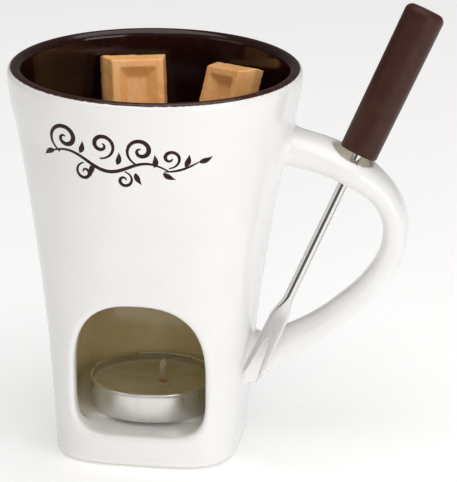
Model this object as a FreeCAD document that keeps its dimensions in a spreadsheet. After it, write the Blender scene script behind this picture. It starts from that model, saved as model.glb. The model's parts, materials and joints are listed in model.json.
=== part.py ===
import FreeCAD, Part
import math
import os

import Sketcher
from FreeCAD import Placement, Rotation, Vector

# Chocolate fondue mug for one: a glazed mug with a tealight chamber under its bowl, a handle
# with a hole that holds the dipping fork, a tealight, and two bars of caramel in the bowl.
# Millimetres, +Z up. The origin is the middle of the foot, the chamber opens towards -Y and
# the handle points to +X.

DIMENSIONS = {
    # outer form of the mug
    "mug_height": 112.8,
    "base_half": 26.5,
    "rim_half": 42.0,
    "flare_linear": 0.36,
    "flare_square": 0.74,
    "lip_turn_start": 0.9,
    "lip_turn": 10.0,
    "base_power": 3.8,
    "power_drop": 2.15,
    "foot_round": 2.8,
    # walls and inside
    "wall": 4.2,
    "glaze": 0.4,
    "glaze_edge": 52.0,
    "lip_crown": 82.0,
    "recess_depth": 5.0,
    "recess_inset": 5.5,
    "recess_round": 1.5,
    "chamber_floor": 10.8,
    "chamber_top": 54.0,
    "chamber_wall": 4.6,
    "chamber_round": 4.0,
    "bowl_floor": 60.0,
    "bowl_round": 9.0,
    # window of the tealight chamber
    "window_half": 18.9,
    "window_bottom": 9.6,
    "window_middle": 27.0,
    "window_top": 50.2,
    "window_top_power": 2.6,
    "window_bottom_power": 5.0,
    "window_edge": 1.8,
    # hole in the handle
    "bore_radius": 6.1,
    "bore_rim": 0.5,
    "bore_reach": 20.0,
    "handle_power": 2.5,
    "bore_x": 57.3,
    "bore_z": 90.6,
    "fork_lean": 23.55,
    # fork: its grip end and its tips, in the mug's frame
    "grip_end_x": 58.308,
    "grip_end_y": -0.367,
    "grip_end_z": 89.73,
    "tips_x": 30.4,
    "tips_y": -16.3,
    "tips_z": 25.7,
    "grip_length": 45.15,
    "grip_end_radius": 5.55,
    "grip_top_radius": 5.9,
    "grip_end_round": 0.9,
    "grip_top_round": 2.0,
    "tang_length": 28.75,
    "shank_radius": 1.4,
    "shank_length": 46.25,
    "blade_thick": 1.2,
    "blade_half": 2.75,
    "blade_full": 52.75,
    "slot_root": 58.95,
    "slot_half": 0.45,
    "tine_inner": 1.7,
    "tine_outer": 3.0,
    "tine_shoulder": 69.25,
    "fork_reach": 71.65,
    # tealight
    "cup_top_radius": 18.6,
    "cup_foot_radius": 18.1,
    "cup_height": 8.8,
    "cup_wall": 0.4,
    "cup_bead": 0.5,
    "wax_level": 6.4,
    "wick_offset": 2.8,
    "wick_radius": 1.15,
    "wick_stand": 10.4,
    "wick_bend": 5.0,
    "wick_tilt": 30.0,
    "sustainer_radius": 6.0,
    "sustainer_thick": 0.4,
    "neck_radius": 1.8,
    "neck_height": 3.0,
    # caramel bars
    "bar_width": 19.2,
    "bar_cell": 23.7,
    "bar_slab": 3.0,
    "bar_thick": 7.6,
    "bar_draft": 1.9,
    "bar_border": 2.1,
    "bar_bevel": 2.7,
    "bar_recess": 2.4,
}

HANDLE_STATIONS = (
    # x, z of the centre line, its direction in degrees below +X, thickness, width
    (32.0, 92.2, 12.0, 12.6, 19.6),
    (39.5, 90.8, 13.0, 10.3, 17.0),
    (48.6, 88.6, 18.0, 9.5, 17.2),
    (57.0, 85.2, 27.0, 8.8, 18.6),
    (64.3, 80.0, 43.0, 7.6, 15.6),
    (68.9, 73.0, 70.0, 7.3, 14.6),
    (69.6, 66.0, 95.0, 7.2, 14.0),
    (67.9, 59.0, 113.0, 7.3, 13.6),
    (62.6, 50.6, 128.0, 7.4, 13.4),
    (53.2, 41.5, 138.0, 7.6, 13.2),
    (43.2, 34.4, 148.0, 8.1, 13.6),
    (34.5, 29.5, 152.0, 9.9, 15.0),
    (27.0, 25.8, 154.0, 14.5, 18.5),
)
FORM_LEVELS = (0.0, 0.15, 0.3, 0.45, 0.6, 0.75, 0.86, 0.93)  # shares of the mug's height
LEVEL_GAP = 0.04  # least share of the height between two sections of a loft
SECTION_POINTS = 32
LIP_STEPS = 5
WINDOW_POINTS = 40
RING_POINTS = 24
BAR_CELLS = 2
CUTTER_ROOM = 4.0  # how far the window's cutter starts in front of the mug
EDGE_ROOM = 1.0  # room round the window when its edge is picked out
TOUCH = 0.01  # heights, radii and distances this close are the same
SKETCH_AWAY = 5.0  # where a sketch's loop starts before its constraints place it
BAR_SEATS = {
    # bearing of the lean from +X, lean, twist about its length; top edge: outward, aside, height
    "caramel_bar_left": (107.0, 20.0, -5.6, 35.2, 2.25, 105.9),
    "caramel_bar_right": (62.0, 22.0, 18.0, 33.9, -6.7, 105.8),
}

doc = FreeCAD.newDocument("fondue_mug")
sheet = doc.addObject("Spreadsheet::Sheet", "Dimensions")
for row, (alias, value) in enumerate(DIMENSIONS.items(), start=1):
    sheet.set(f"A{row}", alias)
    sheet.set(f"B{row}", str(value))
    sheet.setAlias(f"B{row}", alias)
doc.recompute()

subparts = []


def size(alias):
    """The value of one driving dimension, read from the sheet."""
    return float(sheet.get(alias))


def bind(item, prop, formula):
    """Ties a property to the sheet; a word in braces is a dimension's alias."""
    item.setExpression(prop, formula.replace("{", "Dimensions.").replace("}", ""))


def keep(item, label):
    """Marks an object as one sub-part under the name of its file."""
    item.Label = label
    subparts.append(item)
    return item


def feature(label, shape):
    """A plain feature for a form that no primitive or sketch gives."""
    item = doc.addObject("Part::Feature", label)
    item.Shape = shape
    return item


# --- superelliptic forms of the mug -------------------------------------------------------

def half_width(height):
    """Half the mug's outer width at a height: a trumpet whose lip turns upright."""
    level = height / size("mug_height")
    turn = max(0.0, level - size("lip_turn_start"))
    flare = size("flare_linear") * level + size("flare_square") * level ** 2
    flare -= size("lip_turn") * turn ** 2
    return size("base_half") + (size("rim_half") - size("base_half")) * flare


def power(height):
    """Squareness of the section: a rounded square at the foot, a circle below the rim."""
    level = height / size("mug_height")
    return max(2.0, size("base_power") - size("power_drop") * level)


def smooth_loop(points):
    """A closed smooth curve through points, as a wire."""
    curve = Part.BSplineCurve()
    curve.interpolate(points, PeriodicFlag=True)
    return Part.Wire(curve.toShape())


def rounded_square(half_across, half_deep, bend, steps):
    """Points of a superellipse in a plane, as pairs."""
    for step in range(steps):
        angle = 2.0 * math.pi * step / steps
        across, deep = math.cos(angle), math.sin(angle)
        total = abs(across / half_across) ** bend + abs(deep / half_deep) ** bend
        reach = total ** (-1.0 / bend)
        yield reach * across, reach * deep


def section(height, inset):
    """The mug's rounded square at a height, drawn in by inset."""
    half = half_width(height) - inset
    pairs = rounded_square(half, half, power(height), SECTION_POINTS)
    return smooth_loop([Vector(x, y, height) for x, y in pairs])


def form(low, high, inset):
    """Solid between two heights of the mug's form, drawn in by inset."""
    levels = [size("mug_height") * level for level in FORM_LEVELS]
    gap = LEVEL_GAP * size("mug_height")
    heights = [low] + [z for z in levels if low + gap < z < high - gap] + [high]
    return Part.makeLoft([section(z, inset) for z in heights], True, False)


def edges_at(shape, height):
    """Edges that lie wholly in one level plane."""
    found = []
    for edge in shape.Edges:
        box = edge.BoundBox
        if abs(box.ZMin - height) < TOUCH and abs(box.ZMax - height) < TOUCH:
            found.append(edge)
    return found


def rim_base():
    """Height at which the lip's round begins."""
    return size("mug_height") - size("wall") / 2.0


def lip_section(radius, angle):
    """Section of the lip through a point of its round profile; the angle rises from the outside."""
    middle = half_width(rim_base()) - size("wall") / 2.0
    half = middle + radius * math.cos(math.radians(angle))
    height = rim_base() + radius * math.sin(math.radians(angle))
    pairs = rounded_square(half, half, power(height), SECTION_POINTS)
    return smooth_loop([Vector(x, y, height) for x, y in pairs])


def lip_block(radius, start, end):
    """Solid disc whose side follows the lip's round between two angles."""
    turns = [start + (end - start) * step / LIP_STEPS for step in range(LIP_STEPS + 1)]
    return Part.makeLoft([lip_section(radius, turn) for turn in turns], True, False)


def lip():
    """The lip as two rings: its ceramic core, and the glaze from its shoulder to the inside."""
    full = size("wall") / 2.0
    under = full - size("glaze")
    shoulder, crown = size("glaze_edge"), size("lip_crown")
    level = full * math.sin(math.radians(shoulder)) / under
    core = lip_block(under, 180.0, 180.0 - math.degrees(math.asin(level)))
    ceramic = lip_block(full, 0.0, shoulder).cut(core)
    hollow = lip_block(full, 180.0, 180.0 - crown)
    return ceramic, core.fuse(lip_block(full, shoulder, crown)).cut(hollow)


def bowl(inset):
    """The bowl's hollow, drawn in from the outer form by inset."""
    deeper = inset - size("wall")
    low = size("bowl_floor") + deeper
    hollow = form(low, rim_base(), inset)
    return hollow.makeFillet(size("bowl_round") - deeper, edges_at(hollow, low))


def window_loop(depth):
    """Outline of the chamber's window: a soft arch on a flat sill, at y = -depth."""
    middle = size("window_middle")
    points = []
    for step in range(WINDOW_POINTS):
        angle = 2.0 * math.pi * step / WINDOW_POINTS
        across, rise = math.cos(angle), math.sin(angle)
        upper = rise >= 0.0
        tall = size("window_top") - middle if upper else middle - size("window_bottom")
        bend = size("window_top_power") if upper else size("window_bottom_power")
        total = abs(across / size("window_half")) ** bend + abs(rise / tall) ** bend
        reach = total ** (-1.0 / bend)
        points.append(Vector(reach * across, -depth, middle + reach * rise))
    return smooth_loop(points)


def window():
    """Cutter for the chamber's window, from in front of the mug into the chamber."""
    outside = half_width(size("window_top")) + CUTTER_ROOM
    inside = size("base_half") / 2.0
    return Part.Face(window_loop(outside)).extrude(Vector(0, outside - inside, 0))


def window_rim(shape):
    """The window's edge on the outer face of the mug."""
    front = half_width(size("window_top"))
    low = size("window_bottom") - EDGE_ROOM
    high = size("window_top") + EDGE_ROOM
    found = []
    for edge in shape.Edges:
        box = edge.BoundBox
        if box.YMin < EDGE_ROOM - front and low < box.ZMin and box.ZMax < high:
            found.append(edge)
    return found


def mug_shapes():
    """Ceramic body, bowl glaze and the solid outer form."""
    outer = form(0.0, rim_base(), 0.0)
    outer = outer.makeFillet(size("foot_round"), edges_at(outer, 0.0))
    chamber = form(size("chamber_floor"), size("chamber_top"), size("chamber_wall"))
    ends = edges_at(chamber, size("chamber_floor")) + edges_at(chamber, size("chamber_top"))
    chamber = chamber.makeFillet(size("chamber_round"), ends)
    body = outer.cut([chamber, window()])
    body = body.makeFillet(size("window_edge"), window_rim(body))
    recess = Part.Face(section(0.0, size("recess_inset"))).extrude(Vector(0, 0, size("recess_depth")))
    recess = recess.makeFillet(size("recess_round"), edges_at(recess, size("recess_depth")))
    under_glaze = bowl(size("wall") - size("glaze"))
    ceramic_lip, glaze_lip = lip()
    body = body.cut([recess, under_glaze]).fuse(ceramic_lip)
    skin = under_glaze.cut(bowl(size("wall"))).fuse(glaze_lip)
    return body, skin, outer


body_shape, glaze_shape, outer_shape = mug_shapes()
keep(feature("mug_body", body_shape), "mug_body")
keep(feature("bowl_glaze", glaze_shape), "bowl_glaze")
outer_form = feature("outer_form", outer_shape)


# --- handle -------------------------------------------------------------------------------

def bore_rims(shape, middle, along):
    """Numbers of the edges that the bore leaves where it breaks through the handle."""
    found = []
    for number, edge in enumerate(shape.Edges, start=1):
        arms = [(spot - middle).cross(along).Length for spot in edge.discretize(RING_POINTS)]
        on_wall = all(abs(arm - size("bore_radius")) < TOUCH for arm in arms)
        if on_wall and not isinstance(edge.Curve, Part.Line):
            found.append(number)
    return found


def handle():
    """Handle lofted through rounded sections on its centre line, cut to the mug and bored."""
    rings = []
    side = Vector(0, 1, 0)
    for number, (x, z, fall, thick, wide) in enumerate(HANDLE_STATIONS, start=1):
        down = math.radians(fall)
        along = Vector(math.cos(down), 0, -math.sin(down))
        pairs = rounded_square(wide / 2.0, thick / 2.0, size("handle_power"), RING_POINTS)
        ring = feature(f"handle_ring_{number}", smooth_loop([Vector(w, t, 0) for w, t in pairs]))
        ring.Placement = Placement(Vector(x, 0, z), Rotation(side, along.cross(side), along, "ZXY"))
        rings.append(ring)
    loop = doc.addObject("Part::Loft", "handle_loop")
    loop.Sections = rings
    loop.Solid = True
    bore = doc.addObject("Part::Cylinder", "fork_bore")
    bind(bore, "Radius", "{bore_radius}")
    bind(bore, "Height", "{bore_reach} * 2")
    lean = Rotation(Vector(0, 1, 0), size("fork_lean"))
    middle = Vector(size("bore_x"), 0, size("bore_z"))
    bore.Placement = Placement(middle - lean.multVec(Vector(0, 0, size("bore_reach"))), lean)
    trimmed = doc.addObject("Part::Cut", "handle_trimmed")
    trimmed.Base = loop
    trimmed.Tool = outer_form
    bored = doc.addObject("Part::Cut", "handle_bored")
    bored.Base = trimmed
    bored.Tool = bore
    doc.recompute()
    rims = bore_rims(bored.Shape, middle, lean.multVec(Vector(0, 0, 1)))
    rounded = doc.addObject("Part::Fillet", "mug_handle")
    rounded.Base = bored
    rounded.Edges = [(number, size("bore_rim"), size("bore_rim")) for number in rims]
    return keep(rounded, "mug_handle")


# --- sketched pieces ----------------------------------------------------------------------

def base_plane(body, role):
    """One of a body's own origin planes."""
    return next(plane for plane in body.Origin.OriginFeatures if plane.Role == role)


def outline(body, role, name, corners):
    """A closed outline of straight lines; each corner is a pair of formulas of the sheet."""
    sketch = body.newObject("Sketcher::SketchObject", name)
    sketch.AttachmentSupport = (base_plane(body, role), [""])
    sketch.MapMode = "FlatFace"
    count = len(corners)
    turns = [2.0 * math.pi * i / count for i in range(count)]
    start = [Vector(SKETCH_AWAY + math.cos(turn), math.sin(turn), 0) for turn in turns]
    for i in range(count):
        sketch.addGeometry(Part.LineSegment(start[i], start[(i + 1) % count]), False)
    for i in range(count):
        sketch.addConstraint(Sketcher.Constraint("Coincident", i, 2, (i + 1) % count, 1))
    for i, formulas in enumerate(corners):
        begin = (start[i].x, start[i].y)
        for kind, formula, value in zip(("DistanceX", "DistanceY"), formulas, begin):
            spot = sketch.addConstraint(Sketcher.Constraint(kind, -1, 1, i, 1, value))
            bind(sketch, f"Constraints[{spot}]", formula)
    return sketch


def turned(name, corners):
    """A body of revolution about Z; its outline is in radius and height."""
    body = doc.addObject("PartDesign::Body", name)
    sketch = outline(body, "XZ_Plane", f"{name}_outline", corners)
    turn = body.newObject("PartDesign::Revolution", f"{name}_turn")
    turn.Profile = sketch
    turn.ReferenceAxis = (sketch, ["V_Axis"])
    turn.Angle = 360.0
    doc.recompute()
    return body


def rounded_edges(body, name, radius, wanted):
    """Rounds the edges of a body's last feature that satisfy a test."""
    last = body.Tip
    names = [f"Edge{i}" for i, edge in enumerate(last.Shape.Edges, start=1) if wanted(edge)]
    fillet = body.newObject("PartDesign::Fillet", name)
    fillet.Base = (last, names)
    bind(fillet, "Radius", radius)
    doc.recompute()
    return fillet


def circle_at(radius, height):
    """Test for a whole circle of a radius at a height."""
    def test(edge):
        box = edge.BoundBox
        level = abs(box.ZMin - height) < TOUCH and abs(box.ZMax - height) < TOUCH
        return level and abs(box.XMax - radius) < TOUCH
    return test


# --- fork ---------------------------------------------------------------------------------

def fork_place():
    """The fork's own frame in the mug's: origin at the grip's end, +Z up the grip."""
    end = Vector(size("grip_end_x"), size("grip_end_y"), size("grip_end_z"))
    tips = Vector(size("tips_x"), size("tips_y"), size("tips_z"))
    up = (end - tips).normalize()
    front = Vector(0, -1, 0)
    return Placement(end, Rotation(up.cross(front), -front, up, "ZXY"))


def fork_grip():
    """Moulded grip, a little thicker at its top, with the blind hole of the tang."""
    body = turned("fork_grip", (
        ("{shank_radius}", "0 mm"),
        ("{grip_end_radius}", "0 mm"),
        ("{grip_top_radius}", "{grip_length}"),
        ("0 mm", "{grip_length}"),
        ("0 mm", "{tang_length}"),
        ("{shank_radius}", "{tang_length}"),
    ))
    rounded_edges(body, "grip_end_rounding", "{grip_end_round}",
                  circle_at(size("grip_end_radius"), 0.0))
    rounded_edges(body, "grip_top_rounding", "{grip_top_round}",
                  circle_at(size("grip_top_radius"), size("grip_length")))
    body.Placement = fork_place()
    return keep(body, "fork_grip")


def fork_prongs():
    """Steel rod, pressed flat into a blade that is slit into two tines."""
    rod = doc.addObject("Part::Cylinder", "fork_rod")
    bind(rod, "Radius", "{shank_radius}")
    bind(rod, "Height", "{tang_length} + {shank_length}")
    bind(rod, "Placement.Base.z", "-{shank_length}")
    rings = []
    steps = (("{shank_radius}", "{shank_radius}", "{shank_length}"),
             ("({shank_radius} + {blade_half}) / 2", "({shank_radius} + {blade_thick} / 2) / 2",
              "({shank_length} + {blade_full}) / 2"),
             ("{blade_half}", "{blade_thick} / 2", "{blade_full}"))
    for number, (wide, thick, down) in enumerate(steps, start=1):
        ring = doc.addObject("Part::Ellipse", f"neck_ring_{number}")
        bind(ring, "MajorRadius", wide)
        bind(ring, "MinorRadius", thick)
        bind(ring, "Placement.Base.z", f"-({down})")
        rings.append(ring)
    neck = doc.addObject("Part::Loft", "fork_neck")
    neck.Sections = rings
    neck.Solid = True
    blade = doc.addObject("PartDesign::Body", "fork_blade")
    side = (("{slot_half}", "-{slot_root}"),
            ("{tine_inner}", "-{tine_shoulder}"),
            ("({tine_inner} + {tine_outer}) / 2", "-{fork_reach}"),
            ("{tine_outer}", "-{tine_shoulder}"),
            ("{blade_half}", "-{blade_full}"))
    mirror = tuple((f"-({across})", down) for across, down in reversed(side))
    sketch = outline(blade, "XZ_Plane", "blade_outline", side + mirror)
    pad = blade.newObject("PartDesign::Pad", "blade_pad")
    pad.Profile = sketch
    pad.Midplane = True
    bind(pad, "Length", "{blade_thick}")
    doc.recompute()
    whole = doc.addObject("Part::MultiFuse", "fork_prongs")
    whole.Shapes = [rod, neck, blade]
    whole.Placement = fork_place()
    return keep(whole, "fork_prongs")


# --- tealight -----------------------------------------------------------------------------

def on_chamber_floor(lift=0.0):
    """Place of a tealight piece that stands a little above the chamber's floor."""
    return Placement(Vector(0, 0, size("chamber_floor") + lift), Rotation())


def tealight_cup():
    """Drawn aluminium cup with a small bead round its rim."""
    body = turned("tealight_cup", (
        ("0 mm", "0 mm"),
        ("{cup_foot_radius}", "0 mm"),
        ("{cup_top_radius} - {cup_bead} / 2", "{cup_height} - {cup_bead} * 2"),
        ("{cup_top_radius}", "{cup_height} - {cup_bead} * 1.5"),
        ("{cup_top_radius}", "{cup_height} - {cup_bead} / 2"),
        ("{cup_top_radius} - {cup_bead} / 2", "{cup_height}"),
        ("{cup_top_radius} - {cup_bead} / 2 - {cup_wall}", "{cup_height}"),
        ("{cup_foot_radius} - {cup_wall}", "{cup_wall}"),
        ("0 mm", "{cup_wall}"),
    ))
    body.Placement = on_chamber_floor()
    return keep(body, "tealight_cup")


def wick_sustainer():
    """Pressed tin disc whose neck grips the wick."""
    body = turned("wick_sustainer", (
        ("{wick_radius}", "0 mm"),
        ("{sustainer_radius}", "0 mm"),
        ("{sustainer_radius}", "{sustainer_thick}"),
        ("{neck_radius}", "{sustainer_thick}"),
        ("{neck_radius}", "{neck_height}"),
        ("{wick_radius}", "{neck_height}"),
    ))
    body.Placement = on_chamber_floor(size("cup_wall"))
    body.Placement.Base.x = size("wick_offset")
    return keep(body, "wick_sustainer")


def tealight_wick():
    """Braided wick, upright through the wax, with a bent tip."""
    straight = Part.makeCylinder(size("wick_radius"), size("wick_stand"))
    end = Part.Circle(Vector(0, 0, size("wick_stand")), Vector(0, 0, 1), size("wick_radius"))
    pivot = Vector(size("wick_bend"), 0, size("wick_stand"))
    tip = Part.Face(Part.Wire(end.toShape())).revolve(pivot, Vector(0, 1, 0), size("wick_tilt"))
    item = feature("tealight_wick", straight.fuse(tip))
    item.Placement = on_chamber_floor(size("cup_wall"))
    item.Placement.Base.x = size("wick_offset")
    return keep(item, "tealight_wick")


def tealight_wax(wick, sustainer):
    """Wax cast round the wick and its sustainer."""
    fill = doc.addObject("Part::Cone", "wax_fill")
    bind(fill, "Radius1", "{cup_foot_radius} - {cup_wall}")
    bind(fill, "Radius2", "{cup_foot_radius} - {cup_wall} + ({cup_top_radius} - {cup_bead} / 2"
                          " - {cup_foot_radius}) * ({wax_level} - {cup_wall})"
                          " / ({cup_height} - {cup_wall})")
    bind(fill, "Height", "{wax_level} - {cup_wall}")
    fill.Placement = on_chamber_floor(size("cup_wall"))
    core = doc.addObject("Part::MultiFuse", "wick_core")
    core.Shapes = [wick, sustainer]
    wax = doc.addObject("Part::Cut", "tealight_wax")
    wax.Base = fill
    wax.Tool = core
    return keep(wax, "tealight_wax")


# --- caramel bars -------------------------------------------------------------------------

def wedge(name, base_half, base_from, base_to, top_half, top_from, top_to, low, high):
    """A block whose top is smaller than its base; Y is its depth, Z runs down the bar."""
    block = doc.addObject("Part::Wedge", name)
    for prop, formula in (("Xmin", f"-({base_half})"), ("Xmax", base_half),
                          ("X2min", f"-({top_half})"), ("X2max", top_half),
                          ("Zmin", base_from), ("Zmax", base_to),
                          ("Z2min", top_from), ("Z2max", top_to),
                          ("Ymin", low), ("Ymax", high)):
        bind(block, prop, formula)
    return block


def caramel_bar(name, bearing, lean, twist, outward, aside, top):
    """A bar of two framed cells, leaning on the bowl's wall; its back is at Y = 0."""
    bottom = f"-{{bar_cell}} * {BAR_CELLS}"
    slab = wedge(f"{name}_slab", "{bar_width} / 2", bottom, "0 mm",
                 "{bar_width} / 2", bottom, "0 mm", "0 mm", "{bar_slab}")
    cells, hollows = [], []
    for row in range(BAR_CELLS):
        start, end = f"-{{bar_cell}} * {row + 1}", f"-{{bar_cell}} * {row}"
        face = "{bar_width} / 2 - {bar_draft}"
        mouth = f"{face} - {{bar_border}}"
        floor = f"{mouth} - {{bar_bevel}}"
        inner = "({bar_draft} + {bar_border})"
        cells.append(wedge(
            f"{name}_cell_{row + 1}", "{bar_width} / 2", start, end, face,
            f"{start} + {{bar_draft}}", f"{end} - {{bar_draft}}", "{bar_slab}", "{bar_thick}"))
        hollows.append(wedge(
            f"{name}_hollow_{row + 1}", floor, f"{start} + {inner} + {{bar_bevel}}",
            f"{end} - {inner} - {{bar_bevel}}", mouth, f"{start} + {inner}", f"{end} - {inner}",
            "{bar_thick} - {bar_recess}", "{bar_thick}"))
    block = doc.addObject("Part::MultiFuse", f"{name}_block")
    block.Shapes = [slab] + cells
    dents = doc.addObject("Part::MultiFuse", f"{name}_dents")
    dents.Shapes = hollows
    bar = doc.addObject("Part::Cut", name)
    bar.Base = block
    bar.Tool = dents
    turn, tip, spin = math.radians(bearing), math.radians(lean), math.radians(twist)
    out = Vector(math.cos(turn), math.sin(turn), 0)
    side = Vector(-out.y, out.x, 0)
    rise = Vector(0, 0, 1)
    up = out * math.sin(tip) + rise * math.cos(tip)
    front = (rise * math.sin(tip) - out * math.cos(tip)) * math.cos(spin) + side * math.sin(spin)
    seat = out * outward + side * aside + rise * top
    bar.Placement = Placement(seat, Rotation(front.cross(up), front, up, "ZXY"))
    return keep(bar, name)


handle()
fork_grip()
fork_prongs()
tealight_cup()
tealight_wax(tealight_wick(), wick_sustainer())
for bar_name, seat in BAR_SEATS.items():
    caramel_bar(bar_name, *seat)
doc.recompute()

for item in doc.Objects:
    if "Invalid" in item.State or "Error" in item.State:
        raise RuntimeError(f"{item.Label} failed: {item.State}")
os.makedirs("parts", exist_ok=True)
for item in subparts:
    if item.Shape.isNull() or not item.Shape.isValid():
        raise RuntimeError(f"{item.Label} has no valid shape")
    item.Shape.exportStep(f"parts/{item.Label}.step")
    print(item.Label, len(item.Shape.Solids), round(item.Shape.Volume, 1))
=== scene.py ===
import json
import math

import bmesh
import bpy
import numpy as np
import openvdb
from mathutils import Matrix, Vector


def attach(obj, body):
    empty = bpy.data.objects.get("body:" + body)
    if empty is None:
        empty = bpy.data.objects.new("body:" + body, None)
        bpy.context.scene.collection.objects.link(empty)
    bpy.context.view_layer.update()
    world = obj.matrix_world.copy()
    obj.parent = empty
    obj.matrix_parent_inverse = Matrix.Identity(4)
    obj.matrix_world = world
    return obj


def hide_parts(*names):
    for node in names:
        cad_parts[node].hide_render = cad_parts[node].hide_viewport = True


# Looks of the chocolate fondue mug. Forms are worked out in millimetres in the frame of the CAD
# model and turned into metres when a mesh is made. A form is a function of x, y, z that is
# negative inside the solid and grows like a distance.

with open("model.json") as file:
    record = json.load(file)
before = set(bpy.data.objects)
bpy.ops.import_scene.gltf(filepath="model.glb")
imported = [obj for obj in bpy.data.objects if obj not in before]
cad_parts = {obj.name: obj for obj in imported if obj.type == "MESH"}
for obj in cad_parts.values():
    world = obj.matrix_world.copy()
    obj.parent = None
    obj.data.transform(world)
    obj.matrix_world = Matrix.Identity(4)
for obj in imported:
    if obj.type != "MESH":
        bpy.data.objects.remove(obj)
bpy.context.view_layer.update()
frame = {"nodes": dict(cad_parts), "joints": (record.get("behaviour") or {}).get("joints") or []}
random = np.random.default_rng(7)

MM = 0.001
MUG_HEIGHT = 112.8
BASE_HALF = 26.5
FLARE_STEADY = 0.36
FLARE_GROWING = 0.74
UPRIGHT_LEVEL = 0.9
UPRIGHT_TURN = 10.0
FOOT_POWER = 3.8
POWER_FALL = 2.15
ROUND_POWER = 2.0
RIM_HALF = 42.0
WALL = 4.2
LIP = WALL / 2.0
LIP_MIDDLE = RIM_HALF - LIP
GLAZE = 0.4
GLAZE_EDGE = 52.0
FOOT_ROUND = 2.8
RECESS_DEPTH = 5.0
RECESS_INSET = 5.5
RECESS_ROUND = 1.5
CHAMBER_FLOOR = 10.8
CHAMBER_TOP = 54.0
CHAMBER_WALL = 4.6
CHAMBER_ROUND = 4.0
BOWL_FLOOR = 60.0
BOWL_ROUND = 9.0
WINDOW_HALF = 18.9
WINDOW_BOTTOM = 9.6
WINDOW_MIDDLE = 27.0
WINDOW_TOP = 50.2
WINDOW_TOP_POWER = 2.6
WINDOW_BOTTOM_POWER = 5.0
WINDOW_EDGE = 1.8
CHAMBER_EDGE = 0.8
HANDLE_POWER = 2.5
HANDLE_FILLET = 2.2
BORE_X = 57.3
BORE_Z = 90.6
BORE_LEAN = math.radians(23.55)
BORE_RADIUS = 6.1
BORE_REACH = 20.0
BORE_RIM = 0.9
HANDLE_STATIONS = np.array((
    # x, z of the centre line, its direction in degrees below +X, thickness, width
    (32.0, 92.2, 12.0, 12.6, 19.6),
    (39.5, 90.8, 13.0, 10.3, 17.0),
    (48.6, 88.6, 18.0, 9.5, 17.2),
    (57.0, 85.2, 27.0, 8.8, 18.6),
    (64.3, 80.0, 43.0, 7.6, 15.6),
    (68.9, 73.0, 70.0, 7.3, 14.6),
    (69.6, 66.0, 95.0, 7.2, 14.0),
    (67.9, 59.0, 113.0, 7.3, 13.6),
    (62.6, 50.6, 128.0, 7.4, 13.4),
    (53.2, 41.5, 138.0, 7.6, 13.2),
    (43.2, 34.4, 148.0, 8.1, 13.6),
    (34.5, 29.5, 152.0, 9.9, 15.0),
    (27.0, 25.8, 154.0, 14.5, 18.5),
))
SHELL_STEP = 0.75
SHELL_LOW = np.array((-44.0, -44.0, -1.5))
SHELL_HIGH = np.array((76.0, 44.5, 115.0))

GRIP_END = np.array((58.308, -0.367, 89.73))
GRIP_LENGTH = 45.15
GRIP_END_RADIUS = 5.55
GRIP_TOP_RADIUS = 5.9
SHANK_RADIUS = 1.4
SHANK_LENGTH = 46.25
BLADE_FULL = 52.75
BLADE_HALF = 2.75
BLADE_THICK = 1.2
SLOT_ROOT = 58.95
SLOT_HALF = 0.45
TINE_SHOULDER = 69.25
TINE_INNER = 1.7
TINE_OUTER = 3.0
FORK_REACH = 71.65
FORK_STEP = 0.17

CUP_TOP_RADIUS = 18.6
CUP_FOOT_RADIUS = 18.1
CUP_HEIGHT = 8.8
CUP_WALL = 0.4
CUP_BEAD = 0.5
WAX_LEVEL = 6.4
WICK_OFFSET = 2.8
WICK_RADIUS = 1.15
WICK_STAND = 10.4
WICK_BEND = 5.0
WICK_TILT = math.radians(30.0)

BAR_VOXEL = 0.32
BAR_SOFTENING = 4
BAR_LUMP_SIZE = 3.2
BAR_LUMP_DEPTH = 0.35

CAMERA_BEARING = math.radians(8.0)
CAMERA_HEIGHT = math.radians(18.363)
CAMERA_ROLL = math.radians(0.754)
CAMERA_AIM = Vector((0.021604, 0.0, 0.061325))
CAMERA_AWAY = 1.0
CAMERA_LENS = 260.03
LIGHT_AIM = (0.01, 0.0, 0.06)
FILL_AIM = (0.0, 0.0, 0.03)


# --- meshes -------------------------------------------------------------------------------

def mesh_piece(name, points, faces, material):
    """A smooth-shaded object from points in millimetres."""
    data = bpy.data.meshes.new(name)
    data.from_pydata((np.asarray(points) * MM).tolist(), [], [list(map(int, f)) for f in faces])
    work = bmesh.new()
    work.from_mesh(data)
    bmesh.ops.recalc_face_normals(work, faces=work.faces)
    work.to_mesh(data)
    work.free()
    data.shade_smooth()
    data.materials.append(material)
    piece = bpy.data.objects.new(name, data)
    bpy.context.scene.collection.objects.link(piece)
    return piece


def slope(form, points, reach=0.02):
    """Gradient of a form at points."""
    sides = []
    for axis in range(3):
        step = np.zeros(3)
        step[axis] = reach
        sides.append((form(*(points + step).T) - form(*(points - step).T)) / (2.0 * reach))
    return np.stack(sides, axis=1)


def skin(form, low, high, step):
    """Points and quads of the surface on which a form is zero."""
    axes = [np.arange(a, b, step) for a, b in zip(low, high)]
    x, y, z = np.meshgrid(*axes, indexing="ij", sparse=True)
    values = np.broadcast_to(form(x, y, z), [len(axis) for axis in axes])
    grid = openvdb.FloatGrid(step)
    grid.copyFromArray(np.ascontiguousarray(values, dtype=np.float32))
    points, quads = grid.convertToQuads(isovalue=0.0)
    points = points.astype(float) * step + np.asarray(low)
    rise = slope(form, points)
    length = np.maximum((rise ** 2).sum(axis=1), 0.25)
    shift = (form(*points.T) / length)[:, None] * rise
    return points - np.clip(shift, -step / 3.0, step / 3.0), quads


def grid_faces(rows, columns, closed):
    """Quads between rows of points; closed joins the last column to the first."""
    faces = []
    for row in range(rows - 1):
        for column in range(columns if closed else columns - 1):
            after = (column + 1) % columns
            faces.append((row * columns + column, row * columns + after,
                          (row + 1) * columns + after, (row + 1) * columns + column))
    return faces


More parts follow.
